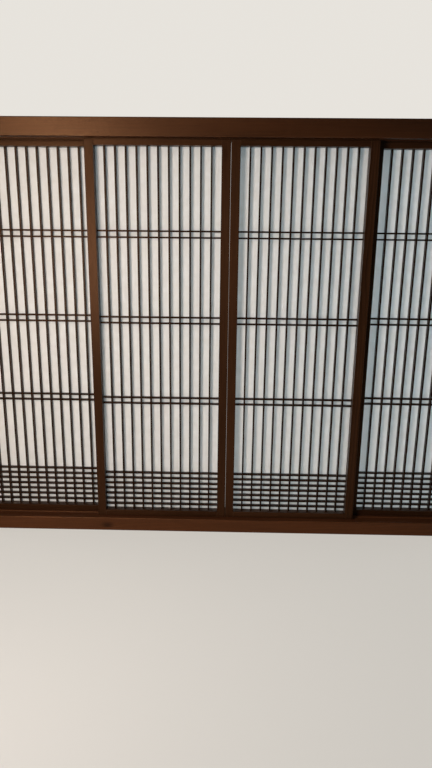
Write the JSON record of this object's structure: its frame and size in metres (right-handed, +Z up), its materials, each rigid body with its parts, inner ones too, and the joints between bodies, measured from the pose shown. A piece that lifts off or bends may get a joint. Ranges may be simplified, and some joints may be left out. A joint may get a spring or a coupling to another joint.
{
  "type": "shoji sliding screen",
  "caption": "Wide window unit of sliding paper screens: a thin wooden lattice of slats, close pairs of bars and a dense grid at the foot, backed with paper, in a grooved wooden frame.",
  "frame": {"origin": "centre of the unit's footprint, at the underside of the sill", "axes": "+X along the tracks, to the right seen from the room; +Y from the room to the outside; +Z up"},
  "size_m": [1.6782, 0.105, 1.2267],
  "materials": {
    "frame_wood": "satin",
    "screen_wood": "satin",
    "lattice_wood": "satin",
    "paper": "matt, lets light through"
  },
  "bodies": {
    "frame": {"sill": "frame_wood", "head": "frame_wood", "left_jamb": "frame_wood", "right_jamb": "frame_wood"},
    "outer_left_screen": {"outer_left_left_stile": "screen_wood", "outer_left_right_stile": "screen_wood", "outer_left_top_rail": "screen_wood", "outer_left_foot_rail": "screen_wood", "outer_left_uprights": "lattice_wood", "outer_left_upper_pair_top_bar": "lattice_wood", "outer_left_upper_pair_foot_bar": "lattice_wood", "outer_left_middle_pair_top_bar": "lattice_wood", "outer_left_middle_pair_foot_bar": "lattice_wood", "outer_left_lower_pair_top_bar": "lattice_wood", "outer_left_lower_pair_foot_bar": "lattice_wood", "outer_left_foot_grid_bars": "lattice_wood", "outer_left_paper": "paper"},
    "inner_left_screen": {"inner_left_left_stile": "screen_wood", "inner_left_right_stile": "screen_wood", "inner_left_top_rail": "screen_wood", "inner_left_foot_rail": "screen_wood", "inner_left_uprights": "lattice_wood", "inner_left_upper_pair_top_bar": "lattice_wood", "inner_left_upper_pair_foot_bar": "lattice_wood", "inner_left_middle_pair_top_bar": "lattice_wood", "inner_left_middle_pair_foot_bar": "lattice_wood", "inner_left_lower_pair_top_bar": "lattice_wood", "inner_left_lower_pair_foot_bar": "lattice_wood", "inner_left_foot_grid_bars": "lattice_wood", "inner_left_paper": "paper"},
    "inner_right_screen": {"inner_right_left_stile": "screen_wood", "inner_right_right_stile": "screen_wood", "inner_right_top_rail": "screen_wood", "inner_right_foot_rail": "screen_wood", "inner_right_uprights": "lattice_wood", "inner_right_upper_pair_top_bar": "lattice_wood", "inner_right_upper_pair_foot_bar": "lattice_wood", "inner_right_middle_pair_top_bar": "lattice_wood", "inner_right_middle_pair_foot_bar": "lattice_wood", "inner_right_lower_pair_top_bar": "lattice_wood", "inner_right_lower_pair_foot_bar": "lattice_wood", "inner_right_foot_grid_bars": "lattice_wood", "inner_right_paper": "paper"},
    "outer_right_screen": {"outer_right_left_stile": "screen_wood", "outer_right_right_stile": "screen_wood", "outer_right_top_rail": "screen_wood", "outer_right_foot_rail": "screen_wood", "outer_right_uprights": "lattice_wood", "outer_right_upper_pair_top_bar": "lattice_wood", "outer_right_upper_pair_foot_bar": "lattice_wood", "outer_right_middle_pair_top_bar": "lattice_wood", "outer_right_middle_pair_foot_bar": "lattice_wood", "outer_right_lower_pair_top_bar": "lattice_wood", "outer_right_lower_pair_foot_bar": "lattice_wood", "outer_right_foot_grid_bars": "lattice_wood", "outer_right_paper": "paper"}
  },
  "joints": [
    {"name": "outer_left_slide", "type": "slide", "parent": "frame", "child": "outer_left_screen", "axis": [1, 0, 0], "range_m": [0, 0.3918]},
    {"name": "inner_left_slide", "type": "slide", "parent": "frame", "child": "inner_left_screen", "axis": [1, 0, 0], "range_m": [-0.3813, 0]},
    {"name": "inner_right_slide", "type": "slide", "parent": "frame", "child": "inner_right_screen", "axis": [1, 0, 0], "range_m": [0, 0.4017]},
    {"name": "outer_right_slide", "type": "slide", "parent": "frame", "child": "outer_right_screen", "axis": [1, 0, 0], "range_m": [-0.3918, 0]}
  ]
}
